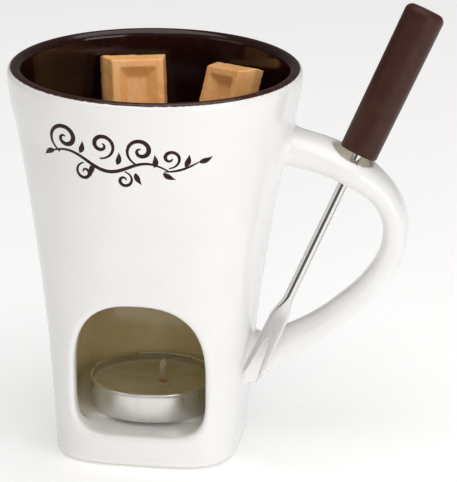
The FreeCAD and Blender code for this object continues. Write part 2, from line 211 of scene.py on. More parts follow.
def spun(halves, heights, bends, turns):
    """Points and faces of a closed form of rounded rings, with a pole at each end.

    halves and heights hold one row per ring; a row is one number or one per turn."""
    angles = np.linspace(0.0, 2.0 * math.pi, turns, endpoint=False)
    across, deep = np.cos(angles), np.sin(angles)
    points = []
    for half, height, bend in zip(halves, heights, bends):
        reach = half / (np.abs(across) ** bend + np.abs(deep) ** bend) ** (1.0 / bend)
        level = np.broadcast_to(height, angles.shape)
        points.append(np.stack([reach * across, reach * deep, level], axis=1))
    rings = len(points)
    faces = grid_faces(rings, turns, True)
    flat = np.concatenate(points)
    ends = [points[0].mean(axis=0), points[-1].mean(axis=0)]
    flat = np.concatenate([flat, ends])
    first, last = rings * turns, rings * turns + 1
    base = (rings - 1) * turns
    for turn in range(turns):
        after = (turn + 1) % turns
        faces.append((after, turn, first))
        faces.append((base + turn, base + after, last))
    return flat, faces


def arc(middle, height, radius, start, end, steps):
    """Points (radius, height) of an arc in a profile; angles in degrees."""
    turns = np.radians(np.linspace(start, end, steps))
    return [(middle + radius * math.cos(turn), height + radius * math.sin(turn)) for turn in turns]


def paint(piece, name, values):
    """Stores a number per point for the material to read."""
    layer = piece.data.attributes.new(name, "FLOAT", "POINT")
    layer.data.foreach_set("value", np.ascontiguousarray(values, dtype=np.float32))


def smooth(value, start, end):
    """Soft step from 0 at start to 1 at end."""
    share = np.clip((value - start) / (end - start), 0.0, 1.0)
    return share * share * (3.0 - 2.0 * share)


# --- materials ----------------------------------------------------------------------------

class Paint:
    """A node material on the object's own coordinates, in millimetres."""

    def __init__(self, name, colour, roughness, **sockets):
        self.material = bpy.data.materials.new(name)
        self.material.use_nodes = True
        self.nodes = self.material.node_tree.nodes
        self.links = self.material.node_tree.links
        self.shader = self.nodes["Principled BSDF"]
        self.shader.inputs["Base Color"].default_value = (*colour, 1.0)
        self.shader.inputs["Roughness"].default_value = roughness
        for socket, value in sockets.items():
            self.shader.inputs[socket.replace("_", " ")].default_value = value
        self.place = self.nodes.new("ShaderNodeTexCoord").outputs["Object"]

    def mapped(self, scale, turn=(0.0, 0.0, 0.0)):
        """Coordinates in cycles per millimetre along each axis."""
        node = self.nodes.new("ShaderNodeMapping")
        node.inputs["Rotation"].default_value = turn
        node.inputs["Scale"].default_value = [s / MM for s in scale]
        self.links.new(self.place, node.inputs["Vector"])
        return node.outputs["Vector"]

    def noise(self, scale, detail=2.0, turn=(0.0, 0.0, 0.0)):
        """Cloudy values about 0.5; scale is in cycles per millimetre."""
        node = self.nodes.new("ShaderNodeTexNoise")
        node.inputs["Scale"].default_value = 1.0
        node.inputs["Detail"].default_value = detail
        self.links.new(self.mapped(scale, turn), node.inputs["Vector"])
        return node.outputs["Fac"]

    def attribute(self, name):
        """A value stored on the mesh."""
        node = self.nodes.new("ShaderNodeAttribute")
        node.attribute_name = name
        return node.outputs["Fac"]

    def spread(self, value, low, high, to_low=0.0, to_high=1.0):
        """A value mapped from one range to another, held at its ends."""
        node = self.nodes.new("ShaderNodeMapRange")
        for socket, number in zip(("From Min", "From Max", "To Min", "To Max"),
                                  (low, high, to_low, to_high)):
            node.inputs[socket].default_value = number
        self.links.new(value, node.inputs["Value"])
        return node.outputs["Result"]

    def times(self, one, other):
        """Product of two values."""
        node = self.nodes.new("ShaderNodeMath")
        node.operation = "MULTIPLY"
        self.links.new(one, node.inputs[0])
        self.links.new(other, node.inputs[1])
        return node.outputs[0]

    def mix(self, share, first, second):
        """Colour between two colours; each is a triple or an output."""
        node = self.nodes.new("ShaderNodeMix")
        node.data_type = "RGBA"
        self.links.new(share, node.inputs["Factor"])
        for socket, colour in zip((node.inputs[6], node.inputs[7]), (first, second)):
            if isinstance(colour, tuple):
                socket.default_value = (*colour, 1.0)
            else:
                self.links.new(colour, socket)
        return node.outputs[2]

    def colour(self, output):
        """Uses an output as the base colour."""
        self.links.new(output, self.shader.inputs["Base Color"])

    def rough(self, output):
        """Uses an output as the roughness."""
        self.links.new(output, self.shader.inputs["Roughness"])

    def bump(self, height, depth):
        """Adds relief; depth in millimetres from a height of 0 to 1."""
        node = self.nodes.new("ShaderNodeBump")
        node.inputs["Distance"].default_value = depth * MM
        self.links.new(height, node.inputs["Height"])
        used = self.shader.inputs["Normal"]
        if used.is_linked:
            self.links.new(used.links[0].from_socket, node.inputs["Normal"])
        self.links.new(node.outputs["Normal"], used)


def even(cycles):
    """The same number of cycles along each axis."""
    return (cycles, cycles, cycles)


def white_glaze():
    """Warm white gloss glaze; painted buff shade on chamber and bore walls; bare clay under the foot."""
    look = Paint("white_glaze", (0.86, 0.85, 0.83), 0.12, IOR=1.5)
    tone = look.mix(look.spread(look.noise(even(0.05), 3.0), 0.35, 0.65),
                    (0.85, 0.838, 0.822), (0.875, 0.867, 0.853))
    specks = look.spread(look.noise(even(1.7), 1.0), 0.72, 0.80, 0.0, 0.35)
    tone = look.mix(specks, tone, (0.62, 0.55, 0.46))
    # Painted shade: a buff-olive that darkens the chamber's walls and the bore's wall, mixed in by the
    # chamber attribute.
    painted_shade = look.mix(look.spread(look.noise(even(0.12), 4.0), 0.3, 0.7),
                    (0.70, 0.60, 0.34), (0.78, 0.675, 0.41))
    tone = look.mix(look.attribute("chamber"), tone, painted_shade)
    clay = look.mix(look.noise(even(2.5), 6.0), (0.70, 0.66, 0.60), (0.80, 0.77, 0.71))
    look.colour(look.mix(look.attribute("bare"), tone, clay))
    look.rough(look.spread(look.noise(even(0.3), 4.0), 0.3, 0.7, 0.08, 0.17))
    look.bump(look.noise(even(0.22), 2.0), 0.035)
    look.bump(look.noise(even(1.4), 2.0), 0.004)
    return look.material


def brown_glaze():
    """Very dark chocolate glaze that breaks to a lighter brown where it thins over the lip."""
    look = Paint("brown_glaze", (0.01, 0.003, 0.002), 0.08, IOR=1.42)
    deep = look.mix(look.spread(look.noise(even(0.09), 4.0), 0.3, 0.7),
                    (0.007, 0.0016, 0.0015), (0.014, 0.0036, 0.003))
    thin = look.mix(look.spread(look.noise(even(0.5), 4.0), 0.35, 0.65),
                    (0.030, 0.009, 0.007), (0.065, 0.022, 0.014))
    look.colour(look.mix(look.attribute("thin"), deep, thin))
    look.rough(look.spread(look.noise(even(0.35), 4.0), 0.3, 0.7, 0.09, 0.16))
    look.bump(look.noise(even(0.16), 2.0), 0.05)
    look.bump(look.noise(even(1.1), 2.0), 0.004)
    return look.material


def print_brown():
    """Brown overglaze print of the scroll, a little uneven where the ink is thin."""
    look = Paint("print_brown", (0.035, 0.011, 0.008), 0.3, Specular_IOR_Level=0.15)
    look.colour(look.mix(look.spread(look.noise(even(1.3), 4.0), 0.4, 0.7),
                         (0.018, 0.006, 0.004), (0.050, 0.018, 0.013)))
    look.rough(look.spread(look.noise(even(2.0), 3.0), 0.3, 0.7, 0.22, 0.4))
    look.bump(look.noise(even(3.0), 2.0), 0.01)
    return look.material


def brown_plastic():
    """Satin moulded plastic with a fine grain and slight rub marks."""
    look = Paint("brown_plastic", (0.048, 0.017, 0.012), 0.36, IOR=1.5, Specular_IOR_Level=0.2)
    tone = look.mix(look.spread(look.noise(even(0.25), 5.0), 0.3, 0.7),
                    (0.043, 0.0155, 0.0105), (0.056, 0.020, 0.014))
    rub = look.spread(look.noise((0.9, 0.9, 0.12), 5.0), 0.62, 0.75, 0.0, 0.35)
    look.colour(look.mix(rub, tone, (0.085, 0.034, 0.025)))
    look.rough(look.spread(look.noise(even(1.5), 4.0), 0.3, 0.7, 0.30, 0.46))
    look.bump(look.noise(even(5.0), 3.0), 0.012)
    return look.material


def fork_steel():
    """Stainless steel: a polished rod and a satin blade brushed along its length."""
    look = Paint("fork_steel", (0.70, 0.68, 0.68), 0.2, Metallic=1.0)
    lines = look.noise((2.4, 2.4, 0.05), 3.0, (0.0, -BORE_LEAN, 0.0))
    blade = look.attribute("blade")
    satin = look.mix(look.spread(lines, 0.3, 0.7), (0.70, 0.665, 0.67), (0.80, 0.765, 0.77))
    look.colour(look.mix(blade, (0.74, 0.73, 0.72), satin))
    look.rough(look.spread(blade, 0.0, 1.0, 0.10, 0.42))
    look.links.new(look.spread(blade, 0.0, 1.0, 1.0, 0.7), look.shader.inputs["Metallic"])
    look.bump(look.times(lines, look.spread(blade, 0.0, 1.0, 0.15, 1.0)), 0.006)
    return look.material


def cup_aluminium():
    """Drawn foil: bright, streaked down its wall, with small creases."""
    look = Paint("cup_aluminium", (0.80, 0.79, 0.76), 0.25, Metallic=1.0)
    streaks = look.noise((0.35, 0.35, 0.05), 3.0)
    look.colour(look.mix(look.spread(streaks, 0.3, 0.7), (0.72, 0.705, 0.67), (0.80, 0.79, 0.765)))
    look.rough(look.spread(streaks, 0.3, 0.7, 0.24, 0.40))
    look.bump(look.noise((0.5, 0.5, 0.12), 2.0), 0.008)
    return look.material


def tin():
    """Dull tinned steel of the wick's sustainer."""
    look = Paint("tin", (0.55, 0.55, 0.54), 0.4, Metallic=1.0)
    spots = look.noise(even(1.8), 4.0)
    look.colour(look.mix(spots, (0.48, 0.48, 0.47), (0.62, 0.62, 0.61)))
    look.rough(look.spread(spots, 0.3, 0.7, 0.3, 0.5))
    look.bump(spots, 0.01)
    return look.material


def wax():
    """Milky paraffin, cloudy inside, with a satin surface."""
    look = Paint("wax", (0.60, 0.54, 0.38), 0.34, Subsurface_Weight=0.25, IOR=1.44)
    look.shader.inputs["Subsurface Radius"].default_value = (0.003, 0.002, 0.001)
    look.colour(look.mix(look.spread(look.noise(even(0.22), 4.0), 0.3, 0.7),
                         (0.50, 0.44, 0.29), (0.60, 0.54, 0.38)))
    look.rough(look.spread(look.noise(even(0.7), 3.0), 0.3, 0.7, 0.26, 0.42))
    look.bump(look.noise(even(0.35), 3.0), 0.10)
    return look.material


def wick_cotton():
    """Waxed cotton braid, orange with wax near its root."""
    look = Paint("wick_cotton", (0.52, 0.44, 0.26), 0.7)
    strands = look.noise((3.5, 3.5, 1.2), 4.0, (0.6, 0.5, 0.0))
    pale = look.mix(look.spread(strands, 0.3, 0.7), (0.36, 0.30, 0.17), (0.62, 0.56, 0.40))
    look.colour(look.mix(look.attribute("root"), pale, (0.42, 0.21, 0.06)))
    look.rough(look.spread(strands, 0.3, 0.7, 0.55, 0.8))
    look.bump(strands, 0.12)
    return look.material


def caramel():
    """Soft toffee: cloudy, faintly streaked, with a slight sheen."""
    look = Paint("caramel", (0.72, 0.36, 0.14), 0.36, Subsurface_Weight=0.22, IOR=1.46)
    look.shader.inputs["Subsurface Radius"].default_value = (0.004, 0.002, 0.001)
    tone = look.mix(look.spread(look.noise(even(0.16), 5.0), 0.3, 0.7),
                    (0.96, 0.46, 0.16), (0.99, 0.53, 0.20))
    bloom = look.spread(look.noise(even(0.8), 4.0), 0.55, 0.75, 0.0, 0.4)
    look.colour(look.mix(bloom, tone, (0.99, 0.62, 0.30)))
    look.rough(look.spread(look.noise(even(1.2), 4.0), 0.3, 0.7, 0.24, 0.40))
    look.bump(look.noise(even(0.9), 4.0), 0.09)
    return look.material


def pale_floor():
    """Matt white studio floor."""
    look = Paint("pale_floor", (0.93, 0.93, 0.93), 0.6)
    look.colour(look.mix(look.noise(even(0.004), 3.0), (0.925, 0.925, 0.925), (0.94, 0.94, 0.94)))
    look.shader.inputs["Emission Color"].default_value = (1.0, 1.0, 1.0, 1.0)
    look.shader.inputs["Emission Strength"].default_value = 0.24
    return look.material


# --- mug ----------------------------------------------------------------------------------

def half_width(z):
    """Half the mug's outer width at a height: a trumpet whose lip turns upright."""
    level = z / MUG_HEIGHT
    flare = FLARE_STEADY * level + FLARE_GROWING * level ** 2
    flare = flare - UPRIGHT_TURN * np.maximum(level - UPRIGHT_LEVEL, 0.0) ** 2
    return BASE_HALF + (RIM_HALF - BASE_HALF) * flare


def power(z):
    """Squareness of the section: a rounded square at the foot, a circle below the rim."""
    return np.maximum(FOOT_POWER - POWER_FALL * z / MUG_HEIGHT, ROUND_POWER)


def ring(x, y, bend):
    """Superelliptic distance from the axis."""
    return (np.abs(x) ** bend + np.abs(y) ** bend) ** (1.0 / bend)


def trumpet(x, y, z, inset):
    """The mug's side, drawn in by inset."""
    return ring(x, y, power(z)) - half_width(z) + inset


def both(one, other, radius):
    """Where two forms overlap, with the edge between them rounded."""
    corner = np.hypot(np.maximum(one + radius, 0.0), np.maximum(other + radius, 0.0))
    return np.minimum(np.maximum(one, other), -radius) + corner


def either(one, other, radius):
    """Two forms joined, with a fillet between them."""
    return -both(-one, -other, radius)


def without(one, other, radius):
    """One form cut by another, with the edge rounded."""
    return both(one, -other, radius)


def blown(share, reach, core):
    """Turns a ratio to a surface into a distance from it."""
    scale = np.where(share > 0.05, reach / np.maximum(share, 0.05), core)
    return (share - 1.0) * scale


def handle_line(count):
    """Evenly spaced rows along the handle: x, z, thickness, width."""
    spots, fall = HANDLE_STATIONS[:, :2], np.radians(HANDLE_STATIONS[:, 2])
    runs = np.linalg.norm(np.diff(spots, axis=0), axis=1)
    at = np.concatenate([[0.0], np.cumsum(runs)])
    values = np.column_stack([spots, HANDLE_STATIONS[:, 3:]])
    slopes = np.column_stack([np.cos(fall), -np.sin(fall),
                              np.gradient(HANDLE_STATIONS[:, 3:], at, axis=0)])
    where = np.linspace(0.0, at[-1], count)
    row = np.clip(np.searchsorted(at, where, side="right") - 1, 0, len(at) - 2)
    gap = (at[row + 1] - at[row])[:, None]
    t = (where - at[row])[:, None] / gap
    return ((2 * t ** 3 - 3 * t ** 2 + 1) * values[row] + (3 * t ** 2 - 2 * t ** 3) * values[row + 1]
            + (t ** 3 - 2 * t ** 2 + t) * gap * slopes[row] + (t ** 3 - t ** 2) * gap * slopes[row + 1])


LINE = handle_line(260)
LINE_WAY = np.gradient(LINE[:, :2], axis=0)
LINE_STEP = np.linalg.norm(LINE_WAY, axis=1)
LINE_WAY = LINE_WAY / LINE_STEP[:, None]


def handle(x, y, z):
    """The handle's rounded band along its centre line."""
    x, y, z = np.asarray(x, float), np.asarray(y, float), np.asarray(z, float)
    away = np.full(np.broadcast_shapes(x.shape, z.shape), np.inf)
    nearest = np.zeros(away.shape, int)
    for row, (line_x, line_z) in enumerate(LINE[:, :2]):
        gap = (x - line_x) ** 2 + (z - line_z) ** 2
        closer = gap < away
        away = np.where(closer, gap, away)
        nearest = np.where(closer, row, nearest)
    off = ((x - LINE[nearest, 0]) * LINE_WAY[nearest, 0]
           + (z - LINE[nearest, 1]) * LINE_WAY[nearest, 1]) / LINE_STEP[nearest]
    last = len(LINE) - 1
    spot = np.clip(nearest + off, 0.0, last)
    rows = np.arange(len(LINE))
    line_x, line_z, thick, wide = (np.interp(spot, rows, LINE[:, k]) for k in range(4))
    way_x, way_z = (np.interp(spot, rows, LINE_WAY[:, k]) for k in range(2))
    side = (x - line_x) * way_z - (z - line_z) * way_x
    share = (np.abs(2.0 * y / wide) ** HANDLE_POWER
             + np.abs(2.0 * side / thick) ** HANDLE_POWER) ** (1.0 / HANDLE_POWER)
    band = blown(share, np.hypot(y, side), thick / 2.0)
    past = np.maximum(-(nearest + off), nearest + off - last) * LINE_STEP[nearest]
    return np.maximum(band, past)


def bore(x, y, z):
    """The hole for the fork."""
    across = (x - BORE_X) * math.cos(BORE_LEAN) - (z - BORE_Z) * math.sin(BORE_LEAN)
    along = (x - BORE_X) * math.sin(BORE_LEAN) + (z - BORE_Z) * math.cos(BORE_LEAN)
    return np.maximum(np.hypot(across, y) - BORE_RADIUS, np.abs(along) - BORE_REACH)


def chamber(x, y, z):
    """Hollow of the tealight chamber."""
    ends = np.maximum(CHAMBER_FLOOR - z, z - CHAMBER_TOP)
    return both(trumpet(x, y, z, CHAMBER_WALL), ends, CHAMBER_ROUND)


def window(x, y, z):
    """Cutter of the chamber's window: a soft arch on a flat sill."""
    rise = z - WINDOW_MIDDLE
    upper = rise >= 0.0
    tall = np.where(upper, WINDOW_TOP - WINDOW_MIDDLE, WINDOW_MIDDLE - WINDOW_BOTTOM)
    bend = np.where(upper, WINDOW_TOP_POWER, WINDOW_BOTTOM_POWER)
    share = (np.abs(x / WINDOW_HALF) ** bend + np.abs(rise / tall) ** bend) ** (1.0 / bend)
    return np.maximum(blown(share, np.hypot(x, rise), WINDOW_HALF), y + BASE_HALF / 2.0)


def shell(x, y, z):
    """The whole ceramic of the mug and its handle; under the brown glaze it lies back."""
    outer = both(trumpet(x, y, z, 0.0), -z, FOOT_ROUND)
    outer = both(outer, z - MUG_HEIGHT, LIP)
    solid = either(outer, handle(x, y, z), HANDLE_FILLET)
    solid = without(solid, bore(x, y, z), BORE_RIM)
    recess = both(ring(x, y, power(0.0)) - BASE_HALF + RECESS_INSET, z - RECESS_DEPTH, RECESS_ROUND)
    solid = without(solid, recess, RECESS_ROUND)
    solid = without(solid, chamber(x, y, z), CHAMBER_EDGE)
    edge = CHAMBER_EDGE + (WINDOW_EDGE - CHAMBER_EDGE) * smooth(trumpet(x, y, z, CHAMBER_WALL), 0.5, 3.5)
    solid = without(solid, window(x, y, z), edge)
    bowl = both(trumpet(x, y, z, WALL - GLAZE), BOWL_FLOOR - GLAZE - z, BOWL_ROUND)
    solid = without(solid, bowl, LIP)
    out, rise = ring(x, y, 2.0) - LIP_MIDDLE, z - (MUG_HEIGHT - LIP)
    turn = np.degrees(np.arctan2(rise, out))
    seat = LIP - GLAZE * smooth(turn, GLAZE_EDGE - 5.0, GLAZE_EDGE + 3.0)
    return np.where(rise > 0.0, np.maximum(solid, np.hypot(out, rise) - seat), solid)


def mug_shell(material):
    """Body and handle as one glazed skin."""
    points, quads = skin(shell, SHELL_LOW, SHELL_HIGH, SHELL_STEP)
    piece = mesh_piece("mug_shell", points, quads, material)
    x, y, z = points.T
    depth = trumpet(x, y, z, 0.0)
    # Painted shade: the chamber attribute darkens the chamber's walls, not its floor, and the bore's
    # wall at 0.4.
    inside = smooth(-depth, 3.2, 4.4) * smooth(z, CHAMBER_FLOOR + 0.2, CHAMBER_FLOOR + 5.0)
    inside = inside * (z < CHAMBER_TOP + 2.0) * (x < BASE_HALF + 6.0)
    bore_shade = 1.0 - smooth(bore(x, y, z), 0.05, 0.3)
    paint(piece, "chamber", np.maximum(inside, 0.4 * bore_shade))
    paint(piece, "bare", 1.0 - smooth(z, 0.25, 0.8))
    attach(piece, "mug")
    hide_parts("mug_body", "mug_handle")


def bowl_skin(material):
    """The brown glaze as a closed skin: visible face, rolled edge and hidden back."""
    turns = 240
    angles = np.linspace(0.0, 2.0 * math.pi, turns, endpoint=False)
    edge = GLAZE_EDGE + 0.8 * np.sin(3.0 * angles + 1.0) + 0.5 * np.sin(8.0 * angles + 2.3)
    round_z = BOWL_FLOOR + BOWL_ROUND
    lip_z = MUG_HEIGHT - LIP
    halves, heights, thin = [], [], []

    def add(half, height, shade=0.0):
        halves.append(np.broadcast_to(half, angles.shape))
        heights.append(np.broadcast_to(height, angles.shape))
        thin.append(np.broadcast_to(shade, angles.shape))

    def inner(inset, floor):
        """Rings from the middle of the floor up to the lip, at an inset and a floor level."""
        bend = BOWL_ROUND + WALL - inset
        flat = half_width(floor) - inset - bend
        rows = [(flat * share, floor) for share in (0.02, 0.35, 0.7, 1.0)]
        for turn in np.radians(np.linspace(-80.0, 0.0, 12)):
            height = floor + bend + bend * math.sin(turn)
            rows.append((half_width(height) - inset - bend + bend * math.cos(turn), height))
        for height in np.linspace(round_z + 1.5, lip_z - 1.0, 34):
            rows.append((half_width(height) - inset, height))
        return rows

    for half, height in inner(WALL, BOWL_FLOOR):
        add(half, height, smooth(height, lip_z - 5.0, lip_z) * 0.3)
    for share in np.linspace(0.0, 1.0, 22):
        turn = np.radians(180.0 + (edge - 180.0) * share)
        shade = 0.3 + 0.7 * smooth(share, 0.55, 1.0)
        add(LIP_MIDDLE + LIP * np.cos(turn), lip_z + LIP * np.sin(turn), shade)
    for radius, back in ((LIP - 0.10, 1.6), (LIP - 0.24, 2.4), (LIP - 0.36, 2.0)):
        turn = np.radians(edge - back)
        add(LIP_MIDDLE + radius * np.cos(turn), lip_z + radius * np.sin(turn), 1.0)
    for share in np.linspace(0.06, 1.0, 14):
        turn = np.radians(edge + (180.0 - edge) * share)
        under = LIP - GLAZE + 0.02
        add(LIP_MIDDLE + under * np.cos(turn), lip_z + under * np.sin(turn))
    for half, height in reversed(inner(WALL - GLAZE + 0.02, BOWL_FLOOR - GLAZE + 0.02)):
        add(half, height)
    bends = [power(row) for row in heights]
    points, faces = spun(halves, heights, bends, turns)
    piece = mesh_piece("bowl_glaze_skin", points, faces, material)
    paint(piece, "thin", np.concatenate(thin + [np.zeros(2)]))
    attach(piece, "mug")
    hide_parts("bowl_glaze")


# --- printed scroll -----------------------------------------------------------------------

def on_front(x, z, lift):
    """Point on the mug's front at x and height z, lifted off its face."""
    half, bend = half_width(z) + lift, power(z)
    deep = (np.maximum(half ** bend - np.abs(x) ** bend, 0.0)) ** (1.0 / bend)
    return np.stack([x, -deep, z], axis=1)


def stroke(line, widths):
    """Points and faces of one pen stroke, a thin band on the mug's face."""
    line = np.asarray(line)
    way = np.gradient(line, axis=0)
    way /= np.linalg.norm(way, axis=1)[:, None]
    side = np.stack([-way[:, 1], way[:, 0]], axis=1) * (np.asarray(widths) / 2.0)[:, None]
    rows = []
    for sign, lift in ((-1.0, -0.05), (-0.9, 0.03), (0.0, 0.06), (0.9, 0.03), (1.0, -0.05)):
        spot = line + side * sign
        rows.append(on_front(spot[:, 0], spot[:, 1], lift))
    points = np.stack(rows, axis=1).reshape(-1, 3)
    faces = grid_faces(len(line), len(rows), True)
    last = (len(line) - 1) * len(rows)
    faces.append(tuple(range(len(rows))))
    faces.append(tuple(last + k for k in reversed(range(len(rows)))))
    return points, faces


def curl(middle, start, turns, outer, inner, widest):
    """A spiral stroke that winds inwards; start is the angle of its outer end in degrees."""
    t = np.linspace(0.0, 1.0, 110)
    angle = math.radians(start) + 2.0 * math.pi * turns * t
    reach = outer + (inner - outer) * t ** 0.85
    line = np.stack([middle[0] + reach * np.cos(angle), middle[1] + reach * np.sin(angle)], axis=1)
    return line, widest * (0.30 + 0.70 * np.sin(np.pi * np.clip(t * 0.9 + 0.08, 0.0, 1.0)) ** 1.3)


def leaf(root, bearing, length, widest):
    """A drop-shaped leaf."""
    t = np.linspace(0.0, 1.0, 26)
    turn = math.radians(bearing) + 0.35 * (t - 0.5)
    line = np.stack([root[0] + length * t * np.cos(turn), root[1] + length * t * np.sin(turn)], axis=1)
    return line, 0.12 + widest * np.sin(np.pi * t ** 0.75) ** 1.2


def stem(start, end, sway, rise, widest):
    """A waving stem between two points."""
    t = np.linspace(0.0, 1.0, 90)
    x = start[0] + (end[0] - start[0]) * t
    z = start[1] + (end[1] - start[1]) * t + rise * np.sin(2.0 * math.pi * sway * t)
    return np.stack([x, z], axis=1), widest * (0.35 + 0.65 * np.sin(np.pi * t) ** 0.8)


def scroll(material):
    """A leafy scroll with curls across the front."""
    strokes = [stem((-24.0, 95.4), (10.2, 93.0), 1.5, 1.9, 1.15)]
    strokes.append(stem((8.8, 92.9), (18.4, 95.6), 0.5, -0.8, 0.8))
    for middle, start, turns, outer, widest in (
            ((-19.4, 100.6), 250.0, -1.5, 5.0, 1.5), ((-8.4, 100.2), 262.0, 1.45, 4.2, 1.35),
            ((2.6, 99.2), 252.0, -1.45, 4.4, 1.4), ((-13.6, 91.2), 95.0, 1.25, 2.8, 1.05),
            ((-2.2, 90.0), 85.0, -1.25, 2.6, 1.05), ((10.6, 97.0), 262.0, 1.25, 3.1, 1.1)):
        strokes.append(curl(middle, start, turns, outer, 0.4, widest))
    for root, bearing in (((-22.8, 95.9), 205.0), ((-15.0, 96.8), 66.0), ((-10.8, 93.8), 245.0),
                          ((-4.2, 94.6), 70.0), ((1.0, 92.4), 285.0), ((6.2, 94.2), 78.0),
                          ((8.6, 92.6), 318.0), ((14.4, 94.2), 62.0), ((18.0, 95.4), 12.0)):
        strokes.append(leaf(root, bearing, 3.9, 1.6))
    points, faces = [], []
    for line, widths in strokes:
        more, quads = stroke(line, widths)
        faces += [tuple(k + len(points) for k in face) for face in quads]
        points += more.tolist()
    piece = mesh_piece("printed_scroll", points, faces, material)
    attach(piece, "mug")


# --- fork ---------------------------------------------------------------------------------

FORK_UP = np.array(next(j for j in frame["joints"] if j["name"] == "fork_lift")["axis"])
FORK_SIDE = np.cross(FORK_UP, (0.0, -1.0, 0.0))
FORK_SIDE = FORK_SIDE / np.linalg.norm(FORK_SIDE)
FORK_BACK = np.cross(FORK_UP, FORK_SIDE)


def in_fork(points):
    """Points of the fork's own frame, brought to the mug's."""
    return GRIP_END + np.asarray(points) @ np.array([FORK_SIDE, FORK_BACK, FORK_UP])


def grip(material):
    """Moulded grip with a rounded top and a rounded lower end about the rod."""
    end, top = 0.9, 2.2
    profile = [(0.3, 0.5), (SHANK_RADIUS, 0.5), (SHANK_RADIUS + 0.25, 0.12), (2.4, 0.0)]
    profile += arc(GRIP_END_RADIUS - end, end, end, -90.0, 0.0, 8)
    body_end = GRIP_LENGTH - top
    for share in np.linspace(0.05, 0.97, 40):
        height = end + (body_end - end) * share
        profile.append((GRIP_END_RADIUS + (GRIP_TOP_RADIUS - GRIP_END_RADIUS) * share, height))
    profile += arc(GRIP_TOP_RADIUS - top, body_end, top, 0.0, 84.0, 12)
    profile += [(2.6, GRIP_LENGTH - 0.04), (1.2, GRIP_LENGTH - 0.01), (0.3, GRIP_LENGTH)]
    halves, heights = np.array(profile).T
    points, faces = spun(halves[:, None], heights[:, None], [2.0] * len(halves), 96)
    piece = mesh_piece("fork_grip_moulded", in_fork(points), faces, material)
    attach(piece, "fork")
    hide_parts("fork_grip")


def fork_form(x, y, z):
    """Rod, flattened into a blade that is slit into two pointed tines; z runs up the fork."""
    down = -z
    flat = smooth(down, SHANK_LENGTH - 1.0, BLADE_FULL)
    taper = np.clip((down - BLADE_FULL) / (TINE_SHOULDER - BLADE_FULL), 0.0, 1.0)
    tip = np.clip((down - TINE_SHOULDER) / (FORK_REACH - TINE_SHOULDER), 0.0, 1.0)
    point = (TINE_INNER + TINE_OUTER) / 2.0
    wide = SHANK_RADIUS + (BLADE_HALF - SHANK_RADIUS) * flat + (TINE_OUTER - BLADE_HALF) * taper
    wide = wide + (point + 0.15 - TINE_OUTER) * tip
    thick = SHANK_RADIUS + (BLADE_THICK / 2.0 - SHANK_RADIUS) * flat - 0.3 * tip
    bend = 2.0 + 1.4 * flat
    share = (np.abs(x / wide) ** bend + np.abs(y / thick) ** bend) ** (1.0 / bend)
    solid = blown(share, np.hypot(x, y), thick)
    open_share = np.clip((down - SLOT_ROOT) / (TINE_SHOULDER - SLOT_ROOT), 0.0, 1.0)
    gap = SLOT_HALF + (TINE_INNER - SLOT_HALF) * open_share ** 0.8
    gap = gap + (point - 0.15 - TINE_INNER) * tip
    slot = both(np.abs(x) - gap, SLOT_ROOT - down, 0.4)
    solid = without(solid, slot, 0.25)
    notch = np.hypot(x - TINE_OUTER + 0.1, down - TINE_SHOULDER + 1.2) - 0.55
    solid = without(solid, notch, 0.15)
    return np.maximum(np.maximum(solid, down - FORK_REACH), z - 1.5)


def prongs(material):
    """Rod and blade in one steel piece."""
    low = (-3.5, -1.9, -FORK_REACH - 1.0)
    points, quads = skin(fork_form, low, (3.6, 1.95, 2.2), FORK_STEP)
    piece = mesh_piece("fork_steel_prongs", in_fork(points), quads, material)
    paint(piece, "blade", smooth(-points[:, 2], SHANK_LENGTH, BLADE_FULL))
    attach(piece, "fork")
    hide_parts("fork_prongs")


# --- tealight -----------------------------------------------------------------------------

def cup_wall(height, inside):
    """Radius of the cup's wall at a height above its foot."""
    share = height / CUP_HEIGHT
    return CUP_FOOT_RADIUS + (CUP_TOP_RADIUS - CUP_BEAD / 2.0 - CUP_FOOT_RADIUS) * share - inside


def cup(material):
    """Drawn foil cup with a rolled rim and faint draw creases."""
    profile = [(0.3, 0.25), (12.0, 0.25), (15.6, 0.22), (16.4, 0.0), (17.4, 0.0)]
    profile += arc(CUP_FOOT_RADIUS - 0.4, 0.4, 0.4, -80.0, 0.0, 6)
    profile += [(cup_wall(height, 0.0), height) for height in np.linspace(1.2, 7.6, 16)]
    bead = CUP_TOP_RADIUS - CUP_BEAD
    profile += arc(bead, CUP_HEIGHT - CUP_BEAD, CUP_BEAD, -50.0, 185.0, 14)
    profile += [(cup_wall(height, 0.30), height) for height in np.linspace(7.4, 0.9, 14)]
    profile += [(16.6, 0.55), (12.0, 0.55), (0.3, 0.55)]
    angles = np.linspace(0.0, 2.0 * math.pi, 288, endpoint=False)
    crease = sum(np.sin(count * angles + phase) for count, phase in
                 zip((17, 29, 43, 61), random.uniform(0.0, 2.0 * math.pi, 4)))
    halves, heights = [], []
    for radius, height in profile:
        share = smooth(height, 0.8, 2.5) * (1.0 - smooth(height, 7.0, 8.0))
        halves.append(radius - 0.05 + 0.003 * crease * share)
        heights.append(np.full(angles.shape, CHAMBER_FLOOR + height))
    points, faces = spun(halves, heights, [2.0] * len(halves), len(angles))
    piece = mesh_piece("tealight_cup_foil", points, faces, material)
    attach(piece, "tealight")
    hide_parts("tealight_cup")


